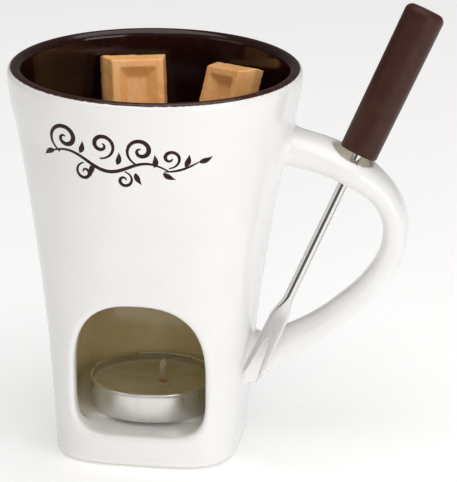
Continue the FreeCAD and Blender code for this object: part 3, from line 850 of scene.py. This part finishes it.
def wax_fill(material):
    """Wax with a raised edge at the cup and a small well round the wick."""
    turns = 160
    angles = np.linspace(0.0, 2.0 * math.pi, turns, endpoint=False)
    edge = cup_wall(WAX_LEVEL, 0.33)
    halves, heights = [], []
    for radius, height in ((0.3, 0.62), (14.0, 0.62), (cup_wall(1.4, 0.33), 1.4), (edge, WAX_LEVEL)):
        halves.append(np.full(turns, radius))
        heights.append(np.full(turns, height))
    for radius in np.linspace(edge - 0.15, 0.3, 70):
        x, y = radius * np.cos(angles), radius * np.sin(angles)
        near = np.hypot(x - WICK_OFFSET, y)
        level = WAX_LEVEL - 0.42 * smooth(edge - radius, 0.0, 1.6)
        level = level - 0.30 * np.exp(-(near / 4.2) ** 2) + 0.55 * np.exp(-(near / 1.7) ** 4)
        level = level + 0.05 * np.sin(0.31 * x + 0.8) * np.cos(0.27 * y - 0.4)
        halves.append(np.full(turns, radius))
        heights.append(level)
    heights = [CHAMBER_FLOOR + row for row in heights]
    points, faces = spun(halves, heights, [2.0] * len(halves), turns)
    piece = mesh_piece("tealight_wax_fill", points, faces, material)
    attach(piece, "tealight")
    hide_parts("tealight_wax")


def wick(material):
    """Braided wick with a bent tip that narrows at its end."""
    turns, rows = 36, 90
    angles = np.linspace(0.0, 2.0 * math.pi, turns, endpoint=False)
    bend_length = WICK_BEND * WICK_TILT
    total = WICK_STAND + bend_length
    foot = np.array((WICK_OFFSET, 0.0, CHAMBER_FLOOR + CUP_WALL))
    points, root = [], []
    for length in np.linspace(0.3, total, rows):
        tilt = max(0.0, (length - WICK_STAND) / WICK_BEND)
        middle = np.array((WICK_BEND * (1.0 - math.cos(tilt)), 0.0,
                           min(length, WICK_STAND) + WICK_BEND * math.sin(tilt)))
        across = np.array((math.cos(tilt), 0.0, -math.sin(tilt)))
        braid = np.sin(3.0 * angles + 2.6 * length) * np.sin(3.0 * angles - 2.6 * length)
        radius = (WICK_RADIUS - 0.12) * (1.0 + 0.10 * braid) - 0.35 * smooth(length, total - 1.2, total)
        spots = middle + radius[:, None] * (np.cos(angles)[:, None] * across
                                            + np.sin(angles)[:, None] * np.array((0.0, 1.0, 0.0)))
        points.append(foot + spots)
        root.append(np.full(turns, 1.0 - smooth(length, WAX_LEVEL - 0.2, WAX_LEVEL + 1.6)))
    faces = grid_faces(rows, turns, True)
    faces.append(tuple(reversed(range(turns))))
    faces.append(tuple((rows - 1) * turns + k for k in range(turns)))
    piece = mesh_piece("tealight_wick_braid", np.concatenate(points), faces, material)
    paint(piece, "root", np.concatenate(root))
    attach(piece, "tealight")
    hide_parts("tealight_wick")


# --- caramel ------------------------------------------------------------------------------

def soft_bar(node, body, material):
    """The bar of the CAD model with softened edges and a slightly uneven face."""
    piece = bpy.data.objects.new(f"{node}_soft", frame["nodes"][node].data.copy())
    bpy.context.scene.collection.objects.link(piece)
    remesh = piece.modifiers.new("even_mesh", "REMESH")
    remesh.mode = "VOXEL"
    remesh.voxel_size = BAR_VOXEL * MM
    soften = piece.modifiers.new("soften", "SMOOTH")
    soften.factor = 0.5
    soften.iterations = BAR_SOFTENING
    lumps = bpy.data.textures.new(f"{node}_lumps", "CLOUDS")
    lumps.noise_scale = BAR_LUMP_SIZE * MM
    uneven = piece.modifiers.new("uneven", "DISPLACE")
    uneven.texture = lumps
    uneven.texture_coords = "LOCAL"
    uneven.mid_level = 0.75
    uneven.strength = BAR_LUMP_DEPTH * MM
    shown = piece.evaluated_get(bpy.context.evaluated_depsgraph_get())
    data = bpy.data.meshes.new_from_object(shown)
    piece.modifiers.clear()
    piece.data = data
    data.materials.clear()
    data.materials.append(material)
    data.shade_smooth()
    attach(piece, body)
    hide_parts(node)


# --- studio -------------------------------------------------------------------------------

def area_light(name, place, aim, size, watts, colour):
    """A rectangular softbox."""
    lamp = bpy.data.lights.new(name, "AREA")
    lamp.shape = "RECTANGLE"
    lamp.size, lamp.size_y = size
    lamp.energy = watts
    lamp.color = colour
    holder = bpy.data.objects.new(name, lamp)
    holder.location = place
    holder.rotation_euler = (Vector(aim) - Vector(place)).to_track_quat("-Z", "Y").to_euler()
    bpy.context.scene.collection.objects.link(holder)
    return holder


def studio():
    """Pale floor, pale sky and soft lights."""
    points = np.array([(x, y, -0.05) for x in (-2500.0, 2500.0) for y in (-2500.0, 2500.0)])
    floor = mesh_piece("studio_floor", points, [(0, 2, 3, 1)], pale_floor())
    world = bpy.data.worlds.new("pale_studio")
    world.use_nodes = True
    sky = world.node_tree.nodes["Background"]
    sky.inputs["Color"].default_value = (1.0, 0.995, 0.985, 1.0)
    sky.inputs["Strength"].default_value = 0.13
    bpy.context.scene.world = world
    area_light("overhead", (0.12, -0.1, 1.35), LIGHT_AIM, (1.8, 1.6), 16.2, (1.0, 0.985, 0.975))
    area_light("key_right", (1.35, -0.95, 0.50), LIGHT_AIM, (1.1, 0.9), 9.2, (0.97, 0.98, 1.0))
    area_light("panel_left", (-1.3, -0.85, 0.45), LIGHT_AIM, (0.9, 0.8), 1.5, (0.95, 0.98, 1.0))
    fill = area_light("front_fill", (0.15, -1.3, 0.55), FILL_AIM, (0.8, 0.5), 3.1, (1.0, 0.97, 0.92))
    fill.visible_glossy = False
    bpy.context.scene.view_settings.view_transform = "Standard"


def camera():
    """Camera a little to the right of the front, above the rim, with a long lens."""
    level = math.cos(CAMERA_HEIGHT)
    back = Vector((math.sin(CAMERA_BEARING) * level, -math.cos(CAMERA_BEARING) * level,
                   math.sin(CAMERA_HEIGHT)))
    right = Vector((math.cos(CAMERA_BEARING), math.sin(CAMERA_BEARING), 0.0))
    up = back.cross(right)
    across = right * math.cos(CAMERA_ROLL) + up * math.sin(CAMERA_ROLL)
    above = up * math.cos(CAMERA_ROLL) - right * math.sin(CAMERA_ROLL)
    lens = bpy.data.cameras.new("camera")
    lens.sensor_width = 36.0
    lens.lens = CAMERA_LENS
    lens.clip_start = 0.05
    holder = bpy.data.objects.new("camera", lens)
    turn = Matrix((across, above, back)).transposed().to_4x4()
    holder.matrix_world = Matrix.Translation(CAMERA_AIM + back * CAMERA_AWAY) @ turn
    bpy.context.scene.collection.objects.link(holder)
    bpy.context.scene.camera = holder


camera()
studio()
mug_shell(white_glaze())
bowl_skin(brown_glaze())
scroll(print_brown())
grip(brown_plastic())
prongs(fork_steel())
cup(cup_aluminium())
wax_fill(wax())
wick(wick_cotton())
toffee = caramel()
soft_bar("caramel_bar_left", "caramel_left", toffee)
soft_bar("caramel_bar_right", "caramel_right", toffee)
sustainer = frame["nodes"]["wick_sustainer"]
sustainer.data.materials.clear()
sustainer.data.materials.append(tin())
